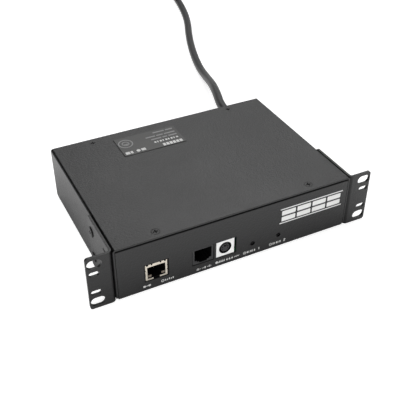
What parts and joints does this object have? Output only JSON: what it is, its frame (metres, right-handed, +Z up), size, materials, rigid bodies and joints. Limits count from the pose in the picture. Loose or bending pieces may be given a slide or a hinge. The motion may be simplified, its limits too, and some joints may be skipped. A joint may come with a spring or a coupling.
{
  "type": "rack power distribution unit",
  "caption": "Half-width rack power distribution unit: a low folded steel box with slotted rack ears, front network and sensor sockets, rear outlets and a power cord.",
  "frame": {"origin": "under the middle of the case, on the surface it stands on; the cord, its grip and its plug are not counted", "axes": "+X along the front panel to its right side, +Y from the front panel to the rear panel, +Z up"},
  "size_m": [0.2999, 0.6281, 0.0437],
  "materials": {
    "case_paint": "finely textured matt powder coat",
    "black_screw": "black oxide",
    "zinc_steel": "zinc plate",
    "tin_plate": "satin tin plate",
    "white_cap": "bright satin plate",
    "black_plastic": "moulded satin",
    "gold_contact": "gold flash",
    "lamp_window": "clear tinted",
    "lamp_epoxy": "water clear",
    "circuit_board": "green solder mask",
    "ribbon": "grey insulation",
    "relay_case": "moulded",
    "transformer_tape": "wound tape",
    "capacitor_sleeve": "shrink sleeve",
    "fuse_glass": "clear glass with plated caps",
    "terminal_plastic": "moulded",
    "brass_contact": "bright",
    "lead_black": "insulation",
    "lead_white": "insulation",
    "lead_green": "insulation",
    "cord_jacket": "satin jacket"
  },
  "bodies": {
    "root": {"base_chassis": "case_paint", "top_cover": "case_paint", "right_rack_bracket": "case_paint", "left_rack_bracket": "case_paint", "cover_screws": "black_screw", "bracket_screws": "black_screw", "bracket_nuts": "zinc_steel", "board_screws": "zinc_steel", "earth_stud": "zinc_steel", "earth_nut": "zinc_steel", "ethernet_socket_shield": "tin_plate", "earth_strap": "tin_plate", "fuse_clips": "tin_plate", "sensor_socket_shell": "white_cap", "ethernet_socket_housing": "black_plastic", "config_socket_housing": "black_plastic", "sensor_socket_body": "black_plastic", "sensor_socket_core": "black_plastic", "lamp_holders": "black_plastic", "control_board_header": "black_plastic", "power_board_header": "black_plastic", "network_chip": "black_plastic", "network_transformer": "black_plastic", "rear_outlet_1": "black_plastic", "rear_outlet_2": "black_plastic", "cord_grip": "black_plastic", "cord_grip_nut": "black_plastic", "ethernet_socket_contacts": "gold_contact", "config_socket_contacts": "gold_contact", "sensor_socket_contacts": "gold_contact", "link_lamp": "lamp_window", "status_lamp": "lamp_window", "outlet_1_lamp": "lamp_epoxy", "outlet_2_lamp": "lamp_epoxy", "control_board": "circuit_board", "power_board": "circuit_board", "ribbon_cable": "ribbon", "outlet_1_relay": "relay_case", "outlet_2_relay": "relay_case", "supply_transformer": "transformer_tape", "supply_capacitor": "capacitor_sleeve", "mains_fuse": "fuse_glass", "terminal_block": "terminal_plastic", "board_standoffs": "zinc_steel", "outlet_1_contacts": "brass_contact", "outlet_2_contacts": "brass_contact", "plug_blades": "brass_contact", "plug_earth_pin": "brass_contact", "line_lead": "lead_black", "outlet_1_wires": "lead_black", "outlet_2_wires": "lead_black", "neutral_lead": "lead_white", "earth_lead": "lead_green", "power_cord": "cord_jacket", "power_cord_coil": "cord_jacket", "cord_jacket_end": "cord_jacket", "plug_body": "cord_jacket"}
  },
  "joints": []
}
